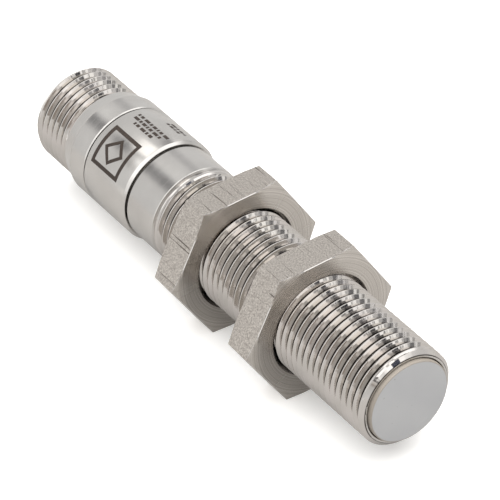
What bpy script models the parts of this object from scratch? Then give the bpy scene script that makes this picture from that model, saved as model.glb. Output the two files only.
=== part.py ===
"""Inductive proximity sensor, M12 x 1, with plug connector and two lock nuts.

Units are metres. The axis of the sensor is world X. The origin is the centre of
the sensing face, +X points out of that face, and +Z is up when the sensor lies
on the flats of its nuts. Stations along the axis are negative, towards the plug.
"""

import math

import bmesh
import bpy

MM = 0.001

# Overall
OVERALL_LENGTH = 65.0 * MM
THREAD_R = 6.0 * MM
SLEEVE_R = 6.5 * MM
NUT_ACROSS_FLATS = 17.0 * MM
NUT_THICKNESS = 4.0 * MM
NUT_FACE_R = 8.7 * MM
NUT_CHAMFER_ANGLE = math.radians(15.0)
NUT_CORE_R = 7.0 * MM
NUT_COUNTERSINK = 0.4 * MM
FRONT_NUT_FACE = -15.95 * MM
REAR_NUT_FACE = -30.25 * MM

# Gaps between pieces that touch on the real object
FIT_GAP = 0.3 * MM
CLOSE_GAP = 0.1 * MM
SOLDER_GAP = 0.15 * MM
RUNNING_CLEARANCE = 0.05 * MM

# Barrel
BARREL_FRONT = -0.5 * MM
BARREL_BORE_R = 4.9 * MM
BARREL_PLAIN_R = 6.08 * MM
BARREL_SPIGOT_R = 5.5 * MM
COUNTERBORE_R = 5.35 * MM
COUNTERBORE_DEPTH = 0.7 * MM
THREAD_CHAMFER = 0.5 * MM
THREAD_END = -39.65 * MM
UNDERCUT = 0.25 * MM
PLAIN_END = -45.15 * MM
BARREL_END = -49.3 * MM
SLEEVE_SEAL_STATION = -47.1 * MM
SLEEVE_SEAL_GROOVE_WIDTH = 0.8 * MM
SLEEVE_SEAL_SECTION_R = 0.2 * MM

# Cap and sensing head
CAP_LIP_R = 5.1 * MM
CAP_SKIRT_R = BARREL_BORE_R - FIT_GAP
CAP_BORE_R = 4.0 * MM
CAP_RIM_R = 0.3 * MM
CAP_FLOOR = 0.8 * MM
CAP_END = -8.5 * MM
CAP_SEAL_STATION = -3.6 * MM
CAP_SEAL_GROOVE_WIDTH = 1.0 * MM
CAP_SEAL_GROOVE_R = 4.25 * MM
CAP_SEAL_SECTION_R = 0.22 * MM
CORE_R = 3.4 * MM
CORE_FRONT = -CAP_FLOOR - FIT_GAP
CORE_LENGTH = 3.2 * MM
CORE_POST_R = 1.1 * MM
CORE_WALL_R = 2.6 * MM
CORE_FLOOR = 1.0 * MM
COIL_CLEARANCE = 0.15 * MM
BOBBIN_WALL = 0.2 * MM
BOBBIN_HUB_WALL = 0.15 * MM
LEAD_Y = 1.8 * MM
LEAD_Z = 0.75 * MM
LEAD_R = 0.12 * MM
LEAD_HOLE_R = 0.35 * MM
LEAD_REACH_ON_BOARD = 1.6 * MM

# Board
BOARD_THICKNESS = 0.8 * MM
BOARD_FRONT = -6.3 * MM
BOARD_SHOULDER = -9.2 * MM
BOARD_END = -47.6 * MM
BOARD_HALF_WIDTH = 3.6 * MM
TONGUE_HALF_WIDTH = 2.6 * MM
POTTING_FRONT = -9.6 * MM
POTTING_END = -40.4 * MM
POTTING_HOLLOW_Y = 2.9 * MM
POTTING_HOLLOW_Z = 2.7 * MM
WINDOW_X = -42.6 * MM
WINDOW_R = 0.9 * MM
WINDOW_INNER_END = 4.2 * MM
LED_Y = 3.0 * MM

# The board's own parts: length, width and height, then stations along the axis
EDGE_BREAK = 0.08 * MM
CHIP_SIZE = (4.9 * MM, 3.9 * MM, 1.5 * MM)
TRANSISTOR_SIZE = (4.5 * MM, 2.5 * MM, 1.5 * MM)
DIODE_SIZE = (4.2 * MM, 2.6 * MM, 1.6 * MM)
CAPACITOR_SIZE = (2.0 * MM, 1.25 * MM, 0.9 * MM)
RESISTOR_SIZE = (1.6 * MM, 0.8 * MM, 0.5 * MM)
LED_SIZE = (1.6 * MM, 0.8 * MM, 0.6 * MM)
CHIP_X = -17.5 * MM
TRANSISTOR_X = -31.0 * MM
DIODE_X = -37.2 * MM
TOP_CAPACITOR_XS = (-12.4 * MM, -24.2 * MM)
UNDER_CAPACITOR_XS = (-34.0 * MM,)
RESISTOR_XS = (-17.5 * MM, -22.0 * MM, -26.5 * MM, -31.0 * MM)

# Sleeve and plug
SLEEVE_FRONT = -45.45 * MM
SLEEVE_END = -53.55 * MM
SLEEVE_BORE_R = BARREL_SPIGOT_R + FIT_GAP
FLANGE_FRONT = -53.75 * MM
FLANGE_END = -56.6 * MM
CONE_END = -58.3 * MM
SHELL_SPIGOT_FRONT = BARREL_END - FIT_GAP
SHELL_STOP_FRONT = -54.6 * MM
SHELL_STOP_END = -55.5 * MM
SHELL_STOP_R = 4.4 * MM
CARRIER_R = 4.6 * MM
CARRIER_NOSE_R = 4.1 * MM
CARRIER_NOSE_FRONT = -52.8 * MM
CARRIER_FACE = -57.0 * MM
CARRIER_LINING_R = 4.3 * MM
CARRIER_LINING_END = -64.4 * MM
CARRIER_SEAL_STATION = -53.7 * MM
CARRIER_SEAL_SECTION_R = 0.3 * MM
RIB_END = -63.8 * MM
RIB_HALF_WIDTH = 0.55 * MM
RIB_INNER_R = 3.7 * MM
PIN_COUNT = 4
PIN_R = 0.5 * MM
PIN_POINT = 0.25 * MM
PIN_CIRCLE_R = 2.5 * MM
PIN_TIP = -63.8 * MM
PIN_TAIL = -51.6 * MM
PIN_HOLE_R = 0.6 * MM
WIRED_PINS = (1, 3, 4)
WIRE_R = 0.25 * MM

# Facets round a full turn
OUTER_SEGMENTS = 48
INNER_SEGMENTS = 28
SMALL_SEGMENTS = 12
SEAL_SEGMENTS = 6
MERGE = 0.01 * MM

MATERIALS = {}
PARTS = None
CUTTERS = None


def clear_scene():
    for obj in list(bpy.data.objects):
        bpy.data.objects.remove(obj, do_unlink=True)


def make_collection(name):
    collection = bpy.data.collections.new(name)
    bpy.context.scene.collection.children.link(collection)
    return collection


def material(name, colour, roughness, metallic=0.0, transmission=0.0):
    """One Principled material, shared by all the parts that name it."""
    if name not in MATERIALS:
        mat = bpy.data.materials.new(name)
        mat.use_nodes = True
        shader = mat.node_tree.nodes["Principled BSDF"]
        shader.inputs["Base Color"].default_value = (*colour, 1.0)
        shader.inputs["Roughness"].default_value = roughness
        shader.inputs["Metallic"].default_value = metallic
        shader.inputs["Transmission Weight"].default_value = transmission
        MATERIALS[name] = mat
    return MATERIALS[name]


def stainless_steel():
    return material("stainless_steel", (0.60, 0.58, 0.56), 0.28, 1.0)


def milled_steel():
    return material("milled_steel", (0.55, 0.53, 0.51), 0.40, 1.0)


def grey_plastic():
    return material("grey_plastic", (0.44, 0.45, 0.45), 0.55)


def black_plastic():
    return material("black_plastic", (0.02, 0.02, 0.02), 0.50)


def cream_plastic():
    return material("cream_plastic", (0.62, 0.56, 0.45), 0.50)


def green_laminate():
    return material("green_laminate", (0.03, 0.17, 0.07), 0.45)


def copper():
    return material("copper", (0.72, 0.35, 0.18), 0.30, 1.0)


def brass():
    return material("brass", (0.72, 0.54, 0.25), 0.32, 1.0)


def gold_plate():
    return material("gold_plate", (0.83, 0.62, 0.24), 0.22, 1.0)


def ferrite():
    return material("ferrite", (0.05, 0.05, 0.055), 0.60)


def seal_rubber():
    return material("seal_rubber", (0.015, 0.015, 0.015), 0.75)


def resin():
    return material("resin", (0.09, 0.08, 0.06), 0.35)


def ceramic():
    return material("ceramic", (0.42, 0.31, 0.20), 0.50)


def clear_lens():
    return material("clear_lens", (0.80, 0.62, 0.25), 0.12, 0.0, 0.6)


def add_part(obj, mat):
    """Put an object in the sensor's collection with its material."""
    for collection in list(obj.users_collection):
        collection.objects.unlink(obj)
    PARTS.objects.link(obj)
    obj.data.materials.clear()
    obj.data.materials.append(mat)
    return obj


def add_cutter(obj):
    """Put an object with the cutters, drawn as wire and left out of the model."""
    for collection in list(obj.users_collection):
        collection.objects.unlink(obj)
    CUTTERS.objects.link(obj)
    obj.hide_render = True
    obj.display_type = "WIRE"
    return obj


def combine(target, other, operation="DIFFERENCE"):
    boolean = target.modifiers.new(operation.title(), "BOOLEAN")
    boolean.operation = operation
    boolean.solver = "EXACT"
    boolean.object = other


def turned(name, profile, segments, closed=True, origin=0.0):
    """A turned piece about world X. Profile points are (station, radius).

    The outer side runs from the front to the rear. A closed profile makes a
    ring, and an open one starts and ends on the axis. The object's own origin
    is on the axis at the station called origin.
    """
    mesh = bpy.data.meshes.new(name)
    points = [(radius, 0.0, station - origin) for station, radius in profile]
    edges = [(i, i + 1) for i in range(len(points) - 1)]
    if closed:
        edges.append((len(points) - 1, 0))
    mesh.from_pydata(points, edges, [])
    obj = bpy.data.objects.new(name, mesh)
    bpy.context.scene.collection.objects.link(obj)
    screw = obj.modifiers.new("Turn", "SCREW")
    screw.axis = "Z"
    screw.steps = segments
    screw.render_steps = segments
    screw.use_merge_vertices = True
    screw.merge_threshold = MERGE
    screw.use_smooth_shade = True
    weld = obj.modifiers.new("Weld poles", "WELD")
    weld.merge_threshold = MERGE
    obj.rotation_euler = (0.0, math.pi / 2, 0.0)
    obj.location = (origin, 0.0, 0.0)
    return obj


def box(name, low, high, bevel=0.0):
    """A box between two opposite corners, with an optional small edge break."""
    mesh = bpy.data.meshes.new(name)
    shape = bmesh.new()
    bmesh.ops.create_cube(shape, size=1.0)
    size = [b - a for a, b in zip(low, high)]
    bmesh.ops.scale(shape, vec=size, verts=shape.verts)
    shape.to_mesh(mesh)
    shape.free()
    obj = bpy.data.objects.new(name, mesh)
    bpy.context.scene.collection.objects.link(obj)
    obj.location = [(a + b) / 2 for a, b in zip(low, high)]
    if bevel:
        edge = obj.modifiers.new("Edge break", "BEVEL")
        edge.width = bevel
        edge.segments = 1
    return obj


def cylinder(name, radius, front, rear, y=0.0, z=0.0, segments=SMALL_SEGMENTS):
    """A plain cylinder parallel to X between two stations."""
    bpy.ops.mesh.primitive_cylinder_add(
        vertices=segments,
        radius=radius,
        depth=front - rear,
        location=((front + rear) / 2, y, z),
        rotation=(0.0, math.pi / 2, 0.0),
    )
    obj = bpy.context.active_object
    obj.name = name
    return obj


def side_cylinder(name, radius, near, far):
    """A cylinder along Y at the window, between two distances from the axis."""
    bpy.ops.mesh.primitive_cylinder_add(
        vertices=INNER_SEGMENTS // 2,
        radius=radius,
        depth=far - near,
        location=(WINDOW_X, (near + far) / 2, 0.0),
        rotation=(math.pi / 2, 0.0, 0.0),
    )
    obj = bpy.context.active_object
    obj.name = name
    return obj


def ring_seal(name, station, ring_r, section_r):
    """A rubber ring about the axis, round in section."""
    bpy.ops.mesh.primitive_torus_add(
        major_radius=ring_r,
        minor_radius=section_r,
        major_segments=INNER_SEGMENTS,
        minor_segments=SEAL_SEGMENTS,
        location=(station, 0.0, 0.0),
        rotation=(0.0, math.pi / 2, 0.0),
    )
    obj = bpy.context.active_object
    obj.name = name
    return add_part(obj, seal_rubber())


def wire(name, points, radius, mat):
    """A round wire along straight runs, with filled ends."""
    curve = bpy.data.curves.new(name, "CURVE")
    curve.dimensions = "3D"
    curve.bevel_depth = radius
    curve.bevel_resolution = 2
    curve.use_fill_caps = True
    spline = curve.splines.new("POLY")
    spline.points.add(len(points) - 1)
    for spot, point in zip(spline.points, points):
        spot.co = (*point, 1.0)
    obj = bpy.data.objects.new(name, curve)
    bpy.context.scene.collection.objects.link(obj)
    return add_part(obj, mat)


def threaded_barrel():
    """The turned tube: thread, plain stretch, and a spigot with a seal groove."""
    counterbore_end = BARREL_FRONT - COUNTERBORE_DEPTH
    groove_front = SLEEVE_SEAL_STATION + SLEEVE_SEAL_GROOVE_WIDTH / 2
    groove_end = SLEEVE_SEAL_STATION - SLEEVE_SEAL_GROOVE_WIDTH / 2
    groove_r = BARREL_SPIGOT_R - FIT_GAP
    profile = [
        (BARREL_FRONT, COUNTERBORE_R),
        (BARREL_FRONT, THREAD_R - THREAD_CHAMFER),
        (BARREL_FRONT - THREAD_CHAMFER, THREAD_R),
        (THREAD_END, THREAD_R),
        (THREAD_END - UNDERCUT, THREAD_R - UNDERCUT),
        (THREAD_END - 2 * UNDERCUT, BARREL_PLAIN_R),
        (PLAIN_END, BARREL_PLAIN_R),
        (PLAIN_END, BARREL_SPIGOT_R),
        (groove_front, BARREL_SPIGOT_R),
        (groove_front, groove_r),
        (groove_end, groove_r),
        (groove_end, BARREL_SPIGOT_R),
        (BARREL_END, BARREL_SPIGOT_R),
        (BARREL_END, BARREL_BORE_R),
        (counterbore_end, BARREL_BORE_R),
        (counterbore_end, COUNTERBORE_R),
    ]
    barrel = turned("threaded_barrel", profile, OUTER_SEGMENTS)
    hole_r = WINDOW_R + FIT_GAP
    hole = side_cylinder("window_hole", hole_r, BARREL_BORE_R - 3 * FIT_GAP, THREAD_R + 3 * FIT_GAP)
    combine(barrel, add_cutter(hole))
    ring_seal("sleeve_seal", SLEEVE_SEAL_STATION, BARREL_SPIGOT_R, SLEEVE_SEAL_SECTION_R)
    return add_part(barrel, stainless_steel())


def marking_sleeve():
    """The smooth collar over the seam, with a wider edge break at its front."""
    edge = 0.15 * MM
    profile = [
        (SLEEVE_FRONT, SLEEVE_BORE_R),
        (SLEEVE_FRONT, SLEEVE_R - 2 * edge),
        (SLEEVE_FRONT - 2 * edge, SLEEVE_R),
        (SLEEVE_END + edge, SLEEVE_R),
        (SLEEVE_END, SLEEVE_R - edge),
        (SLEEVE_END, SLEEVE_BORE_R),
    ]
    return add_part(turned("marking_sleeve", profile, OUTER_SEGMENTS), stainless_steel())


def connector_shell():
    """The plug's housing: spigot, flange, cone and threaded end, with a stop ring inside."""
    rim = 0.5 * MM
    profile = [
        (SHELL_SPIGOT_FRONT, BARREL_BORE_R),
        (SHELL_SPIGOT_FRONT, BARREL_SPIGOT_R),
        (FLANGE_FRONT, BARREL_SPIGOT_R),
        (FLANGE_FRONT, SLEEVE_R),
        (FLANGE_END, SLEEVE_R),
        (CONE_END, THREAD_R),
        (-OVERALL_LENGTH + rim, THREAD_R),
        (-OVERALL_LENGTH, THREAD_R - rim),
        (-OVERALL_LENGTH, BARREL_BORE_R),
        (SHELL_STOP_END, BARREL_BORE_R),
        (SHELL_STOP_END, SHELL_STOP_R),
        (SHELL_STOP_FRONT, SHELL_STOP_R),
        (SHELL_STOP_FRONT, BARREL_BORE_R),
    ]
    return add_part(turned("connector_shell", profile, OUTER_SEGMENTS), stainless_steel())


def sensing_cap():
    """The plastic cup that closes the front, with a rounded lip and a seal groove."""
    lip_end = BARREL_FRONT - COUNTERBORE_DEPTH + FIT_GAP
    groove_front = CAP_SEAL_STATION + CAP_SEAL_GROOVE_WIDTH / 2
    groove_end = CAP_SEAL_STATION - CAP_SEAL_GROOVE_WIDTH / 2
    arc_x = -CAP_RIM_R
    arc_r = CAP_LIP_R - CAP_RIM_R
    arc = [
        (arc_x + CAP_RIM_R * math.cos(angle), arc_r + CAP_RIM_R * math.sin(angle))
        for angle in (0.0, math.pi / 4, math.pi / 2)
    ]
    profile = [
        (0.0, 0.0),
        *arc,
        (lip_end, CAP_LIP_R),
        (lip_end, CAP_SKIRT_R),
        (groove_front, CAP_SKIRT_R),
        (groove_front, CAP_SEAL_GROOVE_R),
        (groove_end, CAP_SEAL_GROOVE_R),
        (groove_end, CAP_SKIRT_R),
        (CAP_END, CAP_SKIRT_R),
        (CAP_END, CAP_BORE_R),
        (-CAP_FLOOR, CAP_BORE_R),
        (-CAP_FLOOR, 0.0),
    ]
    cap = turned("sensing_cap", profile, OUTER_SEGMENTS, closed=False)
    seal_r = (CAP_SEAL_GROOVE_R + BARREL_BORE_R) / 2
    ring_seal("cap_seal", CAP_SEAL_STATION, seal_r, CAP_SEAL_SECTION_R)
    return add_part(cap, grey_plastic())


def lead_holes(target, front, rear):
    """Two holes parallel to the axis for the coil's leads."""
    for side in (-1, 1):
        name = f"{target.name}_lead_hole_{side + 2}"
        combine(target, add_cutter(cylinder(name, LEAD_HOLE_R, front, rear, side * LEAD_Y, LEAD_Z)))


def ferrite_core():
    """Half of a pot core, open to the front, with a centre post."""
    rear = CORE_FRONT - CORE_LENGTH
    floor = rear + CORE_FLOOR
    profile = [
        (CORE_FRONT, 0.0),
        (CORE_FRONT, CORE_POST_R),
        (floor, CORE_POST_R),
        (floor, CORE_WALL_R),
        (CORE_FRONT, CORE_WALL_R),
        (CORE_FRONT, CORE_R),
        (rear, CORE_R),
        (rear, 0.0),
    ]
    core = turned("ferrite_core", profile, INNER_SEGMENTS, closed=False)
    lead_holes(core, floor + FIT_GAP, rear - FIT_GAP)
    return add_part(core, ferrite())


def coil_bobbin_and_winding():
    hub_bore = CORE_POST_R + COIL_CLEARANCE
    hub_r = hub_bore + BOBBIN_HUB_WALL
    rim_r = CORE_WALL_R - COIL_CLEARANCE
    front = CORE_FRONT - CLOSE_GAP
    rear = CORE_FRONT - CORE_LENGTH + CORE_FLOOR + COIL_CLEARANCE
    profile = [
        (front, hub_bore),
        (front, rim_r),
        (front - BOBBIN_WALL, rim_r),
        (front - BOBBIN_WALL, hub_r),
        (rear + BOBBIN_WALL, hub_r),
        (rear + BOBBIN_WALL, rim_r),
        (rear, rim_r),
        (rear, hub_bore),
    ]
    bobbin = turned("coil_bobbin", profile, INNER_SEGMENTS)
    lead_holes(bobbin, rear + BOBBIN_WALL + CLOSE_GAP, rear - FIT_GAP)
    winding_profile = [
        (front - BOBBIN_WALL - CLOSE_GAP, hub_r + CLOSE_GAP),
        (front - BOBBIN_WALL - CLOSE_GAP, rim_r - CLOSE_GAP),
        (rear + BOBBIN_WALL + CLOSE_GAP, rim_r - CLOSE_GAP),
        (rear + BOBBIN_WALL + CLOSE_GAP, hub_r + CLOSE_GAP),
    ]
    winding = turned("coil_winding", winding_profile, INNER_SEGMENTS)
    add_part(bobbin, cream_plastic())
    add_part(winding, copper())


def screening_ring():
    inner_r = CORE_R + COIL_CLEARANCE
    outer_r = CAP_BORE_R - 2 * CLOSE_GAP
    front = CORE_FRONT
    rear = CORE_FRONT - CORE_LENGTH
    profile = [(front, inner_r), (front, outer_r), (rear, outer_r), (rear, inner_r)]
    return add_part(turned("screening_ring", profile, INNER_SEGMENTS), brass())


def coil_holder():
    """The disc behind the core, slotted for the board's tongue and bored for the leads."""
    front = CORE_FRONT - CORE_LENGTH - FIT_GAP
    rear = CAP_END + 2 * CLOSE_GAP
    outer_r = CAP_BORE_R - FIT_GAP
    profile = [(front, 0.0), (front, outer_r), (rear, outer_r), (rear, 0.0)]
    holder = turned("coil_holder", profile, INNER_SEGMENTS, closed=False)
    slot_z = BOARD_THICKNESS / 2 + 2 * CLOSE_GAP
    slot_y = TONGUE_HALF_WIDTH + FIT_GAP
    slot_low = (rear - FIT_GAP, -slot_y, -slot_z)
    slot_high = (BOARD_FRONT + FIT_GAP, slot_y, LEAD_Z + LEAD_HOLE_R)
    combine(holder, add_cutter(box("board_slot", slot_low, slot_high)))
    lead_holes(holder, front + FIT_GAP, BOARD_FRONT)
    return add_part(holder, black_plastic())


def coil_leads():
    bobbin_rear = CORE_FRONT - CORE_LENGTH + CORE_FLOOR + COIL_CLEARANCE
    start = bobbin_rear + BOBBIN_WALL
    solder_station = BOARD_FRONT - LEAD_REACH_ON_BOARD
    for number, side in ((1, -1), (2, 1)):
        points = [
            (start, side * LEAD_Y, LEAD_Z),
            (BOARD_FRONT, side * LEAD_Y, LEAD_Z),
            (solder_station, side * (LEAD_Y - FIT_GAP), LEAD_Z),
        ]
        wire(f"coil_lead_{number}", points, LEAD_R, copper())


def circuit_board():
    """A flat outline with a narrow tongue at the front, extruded both ways."""
    outline = [
        (BOARD_FRONT, -TONGUE_HALF_WIDTH),
        (BOARD_FRONT, TONGUE_HALF_WIDTH),
        (BOARD_SHOULDER, TONGUE_HALF_WIDTH),
        (BOARD_SHOULDER, BOARD_HALF_WIDTH),
        (BOARD_END, BOARD_HALF_WIDTH),
        (BOARD_END, -BOARD_HALF_WIDTH),
        (BOARD_SHOULDER, -BOARD_HALF_WIDTH),
        (BOARD_SHOULDER, -TONGUE_HALF_WIDTH),
    ]
    curve = bpy.data.curves.new("circuit_board", "CURVE")
    curve.dimensions = "2D"
    curve.fill_mode = "BOTH"
    curve.extrude = BOARD_THICKNESS / 2
    spline = curve.splines.new("POLY")
    spline.points.add(len(outline) - 1)
    for spot, (x, y) in zip(spline.points, outline):
        spot.co = (x, y, 0.0, 1.0)
    spline.use_cyclic_u = True
    board = bpy.data.objects.new("circuit_board", curve)
    bpy.context.scene.collection.objects.link(board)
    return add_part(board, green_laminate())


def component(name, station, size, mat, top=True, y=0.0):
    """A moulded or ceramic part on one face of the board."""
    length, width, height = size
    near = BOARD_THICKNESS / 2 + SOLDER_GAP
    z_low = near if top else -near - height
    low = (station - length / 2, y - width / 2, z_low)
    high = (station + length / 2, y + width / 2, z_low + height)
    return add_part(box(name, low, high, EDGE_BREAK), mat)


def board_components():
    component("sensor_chip", CHIP_X, CHIP_SIZE, black_plastic())
    component("output_transistor", TRANSISTOR_X, TRANSISTOR_SIZE, black_plastic())
    component("protection_diode", DIODE_X, DIODE_SIZE, black_plastic())
    component("status_led", WINDOW_X, LED_SIZE, clear_lens(), y=LED_Y)
    for number, station in enumerate(TOP_CAPACITOR_XS + UNDER_CAPACITOR_XS, 1):
        on_top = station in TOP_CAPACITOR_XS
        component(f"capacitor_{number}", station, CAPACITOR_SIZE, ceramic(), on_top)
    for number, station in enumerate(RESISTOR_XS, 1):
        component(f"resistor_{number}", station, RESISTOR_SIZE, black_plastic(), top=False)


def led_window():
    """The clear plug over the status LED, just below the barrel's surface."""
    outer_end = BARREL_PLAIN_R - RUNNING_CLEARANCE
    window = side_cylinder("led_window", WINDOW_R, WINDOW_INNER_END, outer_end)
    return add_part(window, clear_lens())


def potting_resin():
    """The resin that fills the barrel round the board, with room for the board's parts."""
    outer_r = BARREL_BORE_R - FIT_GAP
    profile = [
        (POTTING_FRONT, 0.0),
        (POTTING_FRONT, outer_r),
        (POTTING_END, outer_r),
        (POTTING_END, 0.0),
    ]
    potting = turned("potting_resin", profile, INNER_SEGMENTS, closed=False)
    slot_y = BOARD_HALF_WIDTH + FIT_GAP
    slot_z = BOARD_THICKNESS / 2 + FIT_GAP
    hollows = {
        "board": (slot_y, slot_z),
        "components": (POTTING_HOLLOW_Y, POTTING_HOLLOW_Z),
    }
    for use, (half_y, half_z) in hollows.items():
        low = (POTTING_END - FIT_GAP, -half_y, -half_z)
        high = (POTTING_FRONT + FIT_GAP, half_y, half_z)
        combine(potting, add_cutter(box(f"room_for_{use}", low, high)))
    return add_part(potting, resin())


def pin_place(number):
    """The Y and Z of a contact pin, numbered round the circle from the coding rib."""
    step = 2 * math.pi / PIN_COUNT
    angle = step * (number + 0.5)
    return PIN_CIRCLE_R * math.cos(angle), PIN_CIRCLE_R * math.sin(angle)


def contact_carrier():
    """The plug's insert: a nose, a body with four pin holes, a lining and a coding rib."""
    body_front = SHELL_STOP_END - FIT_GAP
    profile = [
        (CARRIER_NOSE_FRONT, 0.0),
        (CARRIER_NOSE_FRONT, CARRIER_NOSE_R),
        (body_front, CARRIER_NOSE_R),
        (body_front, CARRIER_R),
        (CARRIER_LINING_END, CARRIER_R),
        (CARRIER_LINING_END, CARRIER_LINING_R),
        (CARRIER_FACE, CARRIER_LINING_R),
        (CARRIER_FACE, 0.0),
    ]
    carrier = turned("contact_carrier", profile, INNER_SEGMENTS, closed=False)
    rib_outer_r = (CARRIER_LINING_R + CARRIER_R) / 2
    rib = box(
        "coding_rib",
        (RIB_END, -RIB_HALF_WIDTH, RIB_INNER_R),
        (CARRIER_FACE + FIT_GAP, RIB_HALF_WIDTH, rib_outer_r),
    )
    combine(carrier, add_cutter(rib), "UNION")
    for number in range(1, PIN_COUNT + 1):
        y, z = pin_place(number)
        front = CARRIER_NOSE_FRONT + FIT_GAP
        rear = CARRIER_FACE - FIT_GAP
        hole = cylinder(f"pin_hole_{number}", PIN_HOLE_R, front, rear, y, z)
        combine(carrier, add_cutter(hole))
    seal_r = (CARRIER_NOSE_R + BARREL_BORE_R) / 2
    ring_seal("carrier_seal", CARRIER_SEAL_STATION, seal_r, CARRIER_SEAL_SECTION_R)
    return add_part(carrier, black_plastic())


def contact_pins():
    profile = [
        (PIN_TAIL, 0.0),
        (PIN_TAIL, PIN_R),
        (PIN_TIP + PIN_POINT, PIN_R),
        (PIN_TIP, PIN_R - PIN_POINT),
        (PIN_TIP, 0.0),
    ]
    for number in range(1, PIN_COUNT + 1):
        y, z = pin_place(number)
        pin = turned(f"contact_pin_{number}", profile, SMALL_SEGMENTS, closed=False)
        pin.location = (0.0, y, z)
        add_part(pin, gold_plate())


def contact_leads():
    """Short wires from the board's end to the pins in use, bent down onto the board."""
    straight = 0.8 * MM
    start = PIN_TAIL + 2 * CLOSE_GAP
    rest_z = BOARD_THICKNESS / 2 + SOLDER_GAP + WIRE_R
    for number in WIRED_PINS:
        y, z = pin_place(number)
        side = math.copysign(1.0, z)
        points = [
            (start, y, z),
            (start + straight, y, z),
            (BOARD_END - straight, y, side * (rest_z + FIT_GAP)),
            (BOARD_END + straight / 2, y, side * rest_z),
            (BOARD_END + 3 * straight, y, side * rest_z),
        ]
        wire(f"contact_lead_{number}", points, WIRE_R, copper())


def nut_body(name, face):
    """The hexagon outside of a lock nut, chamfered on both faces."""
    rear = face - NUT_THICKNESS
    corner_r = NUT_ACROSS_FLATS / 2 / math.cos(math.pi / 6)
    slope = math.tan(NUT_CHAMFER_ANGLE)
    chamfer = (corner_r - NUT_FACE_R) * slope
    point_r = NUT_FACE_R - chamfer / slope
    bpy.ops.mesh.primitive_cylinder_add(
        vertices=6,
        radius=corner_r,
        depth=NUT_THICKNESS,
        location=(face - NUT_THICKNESS / 2, 0.0, 0.0),
    )
    nut = bpy.context.active_object
    nut.name = name
    nut.rotation_euler = (0.0, math.pi / 2, 0.0)
    blank_profile = [
        (face + chamfer, 0.0),
        (face + chamfer, point_r),
        (face - chamfer, corner_r),
        (rear + chamfer, corner_r),
        (rear - chamfer, point_r),
        (rear - chamfer, 0.0),
    ]
    blank = turned(f"{name}_chamfer", blank_profile, OUTER_SEGMENTS, closed=False, origin=face)
    combine(nut, add_cutter(blank), "INTERSECT")
    bore_profile = [
        (face + FIT_GAP, 0.0),
        (face + FIT_GAP, NUT_CORE_R + RUNNING_CLEARANCE),
        (rear - FIT_GAP, NUT_CORE_R + RUNNING_CLEARANCE),
        (rear - FIT_GAP, 0.0),
    ]
    bore = turned(f"{name}_bore", bore_profile, OUTER_SEGMENTS, closed=False, origin=face)
    combine(nut, add_cutter(bore))
    return add_part(nut, milled_steel())


def nut_thread_core(name, face):
    """The ring of metal that holds a nut's thread, countersunk at both ends."""
    rear = face - NUT_THICKNESS
    inner_r = THREAD_R + RUNNING_CLEARANCE
    profile = [
        (face - NUT_COUNTERSINK, inner_r),
        (face, inner_r + NUT_COUNTERSINK),
        (face, NUT_CORE_R),
        (rear, NUT_CORE_R),
        (rear, inner_r + NUT_COUNTERSINK),
        (rear + NUT_COUNTERSINK, inner_r),
    ]
    core = turned(f"{name}_thread_core", profile, OUTER_SEGMENTS, origin=face)
    return add_part(core, milled_steel())


def lock_nuts():
    for name, face in (("front_nut", FRONT_NUT_FACE), ("rear_nut", REAR_NUT_FACE)):
        nut_body(name, face)
        nut_thread_core(name, face)


def main():
    global PARTS, CUTTERS
    clear_scene()
    PARTS = make_collection("proximity_sensor")
    CUTTERS = make_collection("cutters")
    threaded_barrel()
    marking_sleeve()
    connector_shell()
    sensing_cap()
    ferrite_core()
    coil_bobbin_and_winding()
    screening_ring()
    coil_holder()
    coil_leads()
    circuit_board()
    board_components()
    led_window()
    potting_resin()
    contact_carrier()
    contact_pins()
    contact_leads()
    lock_nuts()


main()
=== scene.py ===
import math

import bmesh
import bpy
import numpy as np
from mathutils import Matrix, Vector


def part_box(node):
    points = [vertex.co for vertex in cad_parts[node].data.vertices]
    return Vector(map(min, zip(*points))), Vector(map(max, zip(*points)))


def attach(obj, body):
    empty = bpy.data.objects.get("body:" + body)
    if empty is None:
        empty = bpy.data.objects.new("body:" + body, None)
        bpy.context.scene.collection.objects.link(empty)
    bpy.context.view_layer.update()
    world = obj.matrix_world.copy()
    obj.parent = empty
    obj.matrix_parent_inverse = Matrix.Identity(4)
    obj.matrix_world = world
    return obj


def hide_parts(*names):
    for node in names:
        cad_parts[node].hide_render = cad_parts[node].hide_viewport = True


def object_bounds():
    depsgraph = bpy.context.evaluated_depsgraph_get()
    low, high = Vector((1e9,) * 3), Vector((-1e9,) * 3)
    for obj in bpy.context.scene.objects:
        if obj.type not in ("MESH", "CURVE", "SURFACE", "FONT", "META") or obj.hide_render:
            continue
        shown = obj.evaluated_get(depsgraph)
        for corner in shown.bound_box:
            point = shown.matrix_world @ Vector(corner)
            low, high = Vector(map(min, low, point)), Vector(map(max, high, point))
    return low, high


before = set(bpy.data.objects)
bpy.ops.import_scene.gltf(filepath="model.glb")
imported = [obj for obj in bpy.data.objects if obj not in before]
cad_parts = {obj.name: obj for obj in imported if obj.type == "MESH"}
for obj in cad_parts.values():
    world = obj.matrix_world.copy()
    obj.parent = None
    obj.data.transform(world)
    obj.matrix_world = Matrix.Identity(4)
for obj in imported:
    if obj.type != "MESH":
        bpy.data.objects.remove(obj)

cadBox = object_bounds()
mm = 0.001
sensorBody = "sensor_body"


def cornersInMm(node):
    low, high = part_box(node)
    return low / mm, high / mm


# A colour written as sRGB hex, as the linear values that the nodes take
def hexToLinear(code):
    parts = [int(code[i:i + 2], 16) / 255 for i in (1, 3, 5)]
    linear = [c / 12.92 if c <= 0.04045 else ((c + 0.055) / 1.055) ** 2.4 for c in parts]
    return (*linear, 1.0)


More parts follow.
